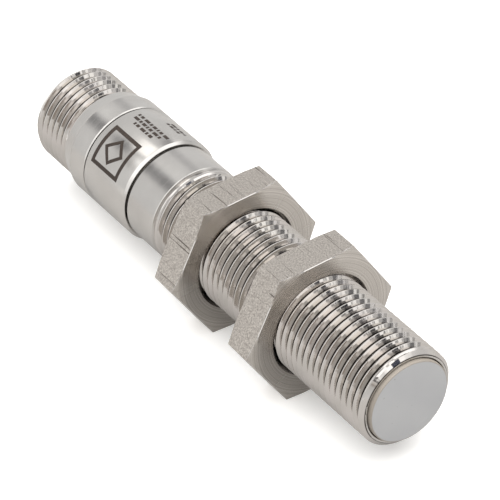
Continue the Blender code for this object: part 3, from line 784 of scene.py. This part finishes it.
# The lock nuts
nutSizes = {
    "segments": 144,
    "acrossFlats": 17.0,
    "faceRadius": 8.7,
    "chamferAngle": 15,
    "cornerRounding": 0.12,
    "edge": 0.07,
    "countersink": 0.40,
    "threadClearance": 0.05,
    "minorRadius": 5.47,
    "blend": 0.04,            # how softly the chamfer runs into the flats
    "chamferSteps": 14,
    "chamferPast": 0.06,      # how far past the corners the chamfer's rows go on
    "flatFrom": 1.1,          # from this deep on, the flats are straight
    "cornerPoints": (-1.0, -0.6, -0.35, 0.35, 0.6, 1.0),  # degrees either side of each corner
    "lip": 0.05,
    "faceRing": 7.6,
    "boreFinish": 6.2,        # closer to the axis than this, the thread's finish
    "faceTilt": 0.9,          # a face this square to the axis or more was faced off
    "bevelTilt": 0.4,         # and one this square or more is the broken edge
}


# How far the hexagon reaches at an angle, with its six corners slightly rounded
def hexReach(angles, sizes):
    half = sizes["acrossFlats"] / 2
    rounding = sizes["cornerRounding"]
    sixth = math.pi / 3
    fromFlat = np.abs((angles % sixth) - sixth / 2)  # 0 on a flat's middle line, 30 degrees at a corner
    centre = (half - rounding) / math.cos(sixth / 2)
    flat = half / np.cos(fromFlat)
    off = sixth / 2 - fromFlat
    inside = np.clip(rounding ** 2 - (centre * np.sin(off)) ** 2, 0, None)
    corner = centre * np.cos(off) + np.sqrt(inside)
    onFlat = half * np.tan(fromFlat) < (half - rounding) * math.tan(sixth / 2)
    return np.where(onFlat, flat, corner)


def lockNut(name, node, core, body):
    sizes = nutSizes
    low, high = cornersInMm(node)
    face, rear = high.x, low.x
    corners = [k * math.pi / 3 + math.radians(d) for k in range(6) for d in sizes["cornerPoints"]]
    angles = evenAngles(sizes["segments"], [a % (2 * math.pi) for a in corners])
    reach = hexReach(angles, sizes)
    slope = math.tan(math.radians(sizes["chamferAngle"]))
    edge = sizes["edge"]
    crest, root = metricThread["crestRadius"], metricThread["rootRadius"]
    mouth = crest + sizes["threadClearance"] + sizes["countersink"]

    def outerAt(depth):
        cone = sizes["faceRadius"] + depth / slope
        near = np.clip(0.5 + 0.5 * (cone - reach) / sizes["blend"], 0, 1)
        return cone * (1 - near) + reach * near - sizes["blend"] * near * (1 - near)

    def radiusAt(stations, around):
        height = threadHeight(stations, around, metricThread)
        cut = root + (crest - root) * height + sizes["threadClearance"]
        sink = mouth - np.minimum(face - stations, stations - rear)
        return np.maximum(np.maximum(cut, sizes["minorRadius"]), sink)

    steps = sizes["chamferSteps"]
    acrossCorners = 2 * sizes["acrossFlats"] / math.sqrt(3)
    deepest = (acrossCorners / 2 - sizes["faceRadius"]) * slope + sizes["chamferPast"]
    depths = [edge + (deepest - edge) * step / steps for step in range(steps + 1)] + [sizes["flatFrom"]]
    rows = []
    helixRows(rows, face, rear, radiusAt, angles, metricThread)
    rows.reverse()
    rows = [(x, r, len(rows) - 1 - wrap) for x, r, wrap in rows]
    ring(rows, face, mouth + sizes["lip"], angles)
    ring(rows, face, sizes["faceRing"], angles)
    ring(rows, face, outerAt(0.0) - edge, angles)
    for depth in depths:
        ring(rows, face - depth, outerAt(depth), angles)
    for depth in reversed(depths):
        ring(rows, rear + depth, outerAt(depth), angles)
    ring(rows, rear, outerAt(0.0) - edge, angles)
    ring(rows, rear, sizes["faceRing"], angles)

    def pick(centre, normal):
        if math.hypot(centre.y, centre.z) < sizes["boreFinish"]:
            return 2
        if abs(normal.x) > sizes["faceTilt"]:
            return 1
        return 3 if abs(normal.x) > sizes["bevelTilt"] else 0

    skins = [finishes["flats"], finishes["faced"], finishes["thread"], finishes["turned"]]
    nut = meshFromRows(name, rows, angles, skins, sharp=12, pick=pick)
    return mount(nut, body, "milled_steel", node, core)


threadedBarrel()
print("barrel done")
plugHousing()
markingSleeve()
laserMarks()
sensingCap()
for number in range(1, 5):
    contactPin(f"contact_pin_{number}")
ledWindow()
coilWinding()
print("housing, collar, cap, pins, window and coil done")
for nut in ("front_nut", "rear_nut"):
    lockNut(nut + "_finish", nut, nut + "_thread_core", nut)
print("nuts done")


# The frame's own nodes that stay
nodeFinishes = {
    "insert": ["contact_carrier", "coil_holder"],
    "lens": ["status_led"],
    "rubber": ["cap_seal", "sleeve_seal", "carrier_seal"],
    "ferrite": ["ferrite_core"],
    "copper": ["coil_lead_1", "coil_lead_2", "contact_lead_1", "contact_lead_3", "contact_lead_4"],
    "brass": ["screening_ring"],
    "laminate": ["circuit_board"],
    "resin": ["potting_resin"],
    "ceramic": ["capacitor_1", "capacitor_2", "capacitor_3"],
    "chip": ["sensor_chip", "output_transistor", "protection_diode",
             "resistor_1", "resistor_2", "resistor_3", "resistor_4"],
    "cream": ["coil_bobbin"],
}
for finish, names in nodeFinishes.items():
    for name in names:
        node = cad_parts[name]
        node.data.materials.clear()
        node.data.materials.append(finishes[finish])
print("inner nodes finished")

# Floor, light and camera
studio = {
    "azimuth": 57.486,        # where the camera stands, round from -Y towards +X
    "elevation": 39.657,
    "roll": -3.907,
    "distance": 395.25,
    "aim": (1.31, 1.19, 0.0),  # from the middle of the box, in mm
    "lens": 254.68,
    "floorRadius": 120.0,
    "floor": "#f4f3f1",
    "tableGlow": (0.11, 0.13),  # a translucent table lit from below: what the eye gets on top, then all
    "tableMirrored": (0.35, 0.34, 0.33),
    "dome": 0.86,
    "below": (0.82, 0.80, 0.78),
    "horizon": (-0.16, -0.06),  # the dome takes over from below between these heights
    "topSize": 0.9,
    "topLight": 5.2,
    "topPlace": (0.05, 0.0, 0.5),
}

# Light and dark cards round the table: azimuth from +X towards +Y and elevation of the middle,
# half width and half height, all in degrees, then how soft the edge is, and the colour
cards = [
    (72.0, -15.0, 20.0, 14.0, 8.0, (0.98, 0.97, 0.95)),
    (-119.0, 50.0, 9.0, 12.0, 4.0, (0.60, 0.59, 0.58)),
    (-99.0, -6.0, 8.0, 9.0, 3.0, (1.25, 1.22, 1.19)),
    (-174.0, 75.0, 12.0, 12.0, 3.0, (2.1, 2.07, 2.03)),
    (109.0, 54.0, 7.0, 10.0, 2.0, (0.06, 0.06, 0.07)),
    (98.0, 40.0, 5.5, 9.0, 2.0, (1.9, 1.9, 1.9)),
    (90.0, 20.0, 5.0, 7.0, 3.0, (0.20, 0.20, 0.20)),
    (-13.0, 2.5, 13.5, 16.0, 3.0, (0.38, 0.33, 0.29)),
    (8.5, 17.5, 8.0, 9.0, 1.5, (1.35, 1.31, 1.27)),
    (19.5, 15.0, 1.6, 9.0, 1.0, (0.30, 0.29, 0.29)),
    (23.5, 15.0, 1.3, 9.0, 0.8, (1.10, 1.10, 1.10)),
    (28.5, 12.5, 3.6, 9.0, 0.8, (0.06, 0.06, 0.07)),
    (34.5, 11.0, 2.0, 9.0, 0.8, (1.60, 1.60, 1.60)),
    (37.5, 10.0, 1.2, 9.0, 0.6, (0.35, 0.35, 0.35)),
    (41.0, 8.0, 2.0, 9.0, 0.8, (1.50, 1.50, 1.48)),
    (44.5, 5.0, 0.8, 9.0, 0.6, (0.45, 0.45, 0.45)),
    (50.5, 0.5, 2.6, 8.0, 0.8, (0.20, 0.20, 0.21)),
    (54.5, 0.0, 1.2, 8.0, 0.6, (1.30, 1.30, 1.30)),
    (57.5, 0.0, 1.2, 8.0, 0.6, (0.30, 0.30, 0.30)),
    (-155.0, 44.0, 8.0, 9.0, 6.0, (0.22, 0.22, 0.23)),
    (142.0, 35.0, 5.0, 8.0, 4.0, (0.62, 0.62, 0.63)),
    (28.0, 50.0, 30.0, 22.0, 8.0, (1.9, 1.9, 1.9)),
    (-50.0, 48.0, 30.0, 26.0, 8.0, (1.9, 1.9, 1.9)),
    (14.0, 33.0, 6.0, 9.0, 2.0, (0.10, 0.11, 0.15)),
    (-23.0, 21.0, 2.5, 5.0, 1.5, (0.10, 0.09, 0.09)),
    (-52.0, 2.0, 12.0, 14.0, 5.0, (1.4, 1.4, 1.4)),
]


# A table that is bright to the eye, and a middling white in what the metal mirrors
def layTable(middle):
    floorMaterial, tree, shader = newMaterial("litTable", studio["floor"], 0.6)
    seen = addNode(tree, "LightPath").outputs["Is Camera Ray"]
    mottle = grain(tree, placeInMm(tree), (8.0, 8.0, 8.0), 2.0)
    paper = addNode(tree, "ValToRGB", links={0: mottle}, stops=[(0.2, "#f3f2f0"), (0.8, "#f6f5f3")])
    shown = addNode(tree, "Mix", {6: (*studio["tableMirrored"], 1.0)}, {0: seen, 7: paper.outputs[0]},
                    data_type="RGBA")
    tree.links.new(shown.outputs[2], shader.inputs["Base Color"])
    shader.inputs["Emission Color"].default_value = hexToLinear(studio["floor"])
    toTheEye, forAll = studio["tableGlow"]
    glow = addNode(tree, "Math", {1: toTheEye, 2: forAll}, {0: seen}, operation="MULTIPLY_ADD")
    tree.links.new(glow.outputs[0], shader.inputs["Emission Strength"])
    bpy.ops.mesh.primitive_circle_add(vertices=96, radius=studio["floorRadius"] * mm, fill_type="NGON",
                                      location=(middle.x, middle.y, cadBox[0][2]))
    floor = bpy.context.active_object
    floor.name = "table_top"
    floor.data.materials.append(floorMaterial)


# An even dome with the cards on it, as mirrored by the metal. Matt surfaces get the plain dome,
# and the eye sees white
def hangCards():
    world = bpy.data.worlds.new("softStudio")
    bpy.context.scene.world = world
    world.use_nodes = True
    tree = world.node_tree
    background = tree.nodes["Background"]
    look = addNode(tree, "TexCoord").outputs["Generated"]
    height = addNode(tree, "SeparateXYZ", links={0: look}).outputs["Z"]
    domeColour = (studio["dome"],) * 3 + (1.0,)
    lowest, highest = studio["horizon"]
    above = addNode(tree, "MapRange", {1: lowest, 2: highest}, {0: height})
    base = addNode(tree, "Mix", {6: (*studio["below"], 1.0), 7: domeColour},
                   {0: above.outputs[0]}, data_type="RGBA")
    colour = base.outputs[2]
    for azimuth, elevation, halfWidth, halfHeight, soft, light in cards:
        a, e = math.radians(azimuth), math.radians(elevation)
        centre = Vector((math.cos(a) * math.cos(e), math.sin(a) * math.cos(e), math.sin(e)))
        side = Vector((-math.sin(a), math.cos(a), 0))
        rise = centre.cross(side)
        ahead = addNode(tree, "VectorMath", {1: centre}, {0: look}, operation="DOT_PRODUCT")
        facing = addNode(tree, "Math", {1: 0.0}, {0: ahead.outputs["Value"]}, operation="GREATER_THAN")
        mask = facing.outputs[0]
        for axis, half in ((side, halfWidth), (rise, halfHeight)):
            dot = addNode(tree, "VectorMath", {1: axis}, {0: look}, operation="DOT_PRODUCT")
            away = addNode(tree, "Math", links={0: dot.outputs["Value"]}, operation="ABSOLUTE")
            outer, inner = math.radians(half + soft), math.radians(half - soft / 2)
            edge = addNode(tree, "MapRange", {1: math.sin(outer), 2: math.sin(inner)},
                           {0: away.outputs[0]}, interpolation_type="SMOOTHSTEP")
            both = addNode(tree, "Math", links={0: mask, 1: edge.outputs[0]}, operation="MULTIPLY")
            mask = both.outputs[0]
        mix = addNode(tree, "Mix", {7: (*light, 1.0)}, {0: mask, 6: colour}, data_type="RGBA")
        colour = mix.outputs[2]
    path = addNode(tree, "LightPath")
    even = addNode(tree, "Mix", {7: domeColour}, {0: path.outputs["Is Diffuse Ray"], 6: colour},
                   data_type="RGBA")
    plain = addNode(tree, "Mix", {7: (1.0, 1.0, 1.0, 1.0)},
                    {0: path.outputs["Is Camera Ray"], 6: even.outputs[2]}, data_type="RGBA")
    tree.links.new(plain.outputs[2], background.inputs["Color"])


def hangSoftbox(middle):
    lamp = bpy.data.lights.new("overhead_softbox", "AREA")
    lamp.shape = "DISK"
    lamp.size = studio["topSize"]
    lamp.energy = studio["topLight"]
    light = bpy.data.objects.new("overhead_softbox", lamp)
    light.location = middle + Vector(studio["topPlace"])
    light.visible_glossy = False
    bpy.context.scene.collection.objects.link(light)


def standCamera(middle):
    a, e = math.radians(studio["azimuth"]), math.radians(studio["elevation"])
    back = Vector((math.sin(a) * math.cos(e), -math.cos(a) * math.cos(e), math.sin(e)))
    side = Vector((0, 0, 1)).cross(back).normalized()
    rise = back.cross(side)
    turn = math.radians(studio["roll"])
    right = side * math.cos(turn) + rise * math.sin(turn)
    up = rise * math.cos(turn) - side * math.sin(turn)
    camera = bpy.data.objects.new("camera", bpy.data.cameras.new("camera"))
    camera.data.lens = studio["lens"]
    camera.data.clip_start = 0.01
    camera.data.clip_end = 10
    basis = Matrix((right, up, back)).transposed().to_4x4()
    basis.translation = middle + Vector(studio["aim"]) * mm + back * studio["distance"] * mm
    camera.matrix_world = basis
    bpy.context.scene.collection.objects.link(camera)
    bpy.context.scene.camera = camera
    bpy.context.scene.view_settings.view_transform = "Standard"


boxMiddle = Vector([(a + b) / 2 for a, b in zip(cadBox[0], cadBox[1])])
layTable(boxMiddle)
hangCards()
hangSoftbox(boxMiddle)
standCamera(boxMiddle)
print("studio ready")
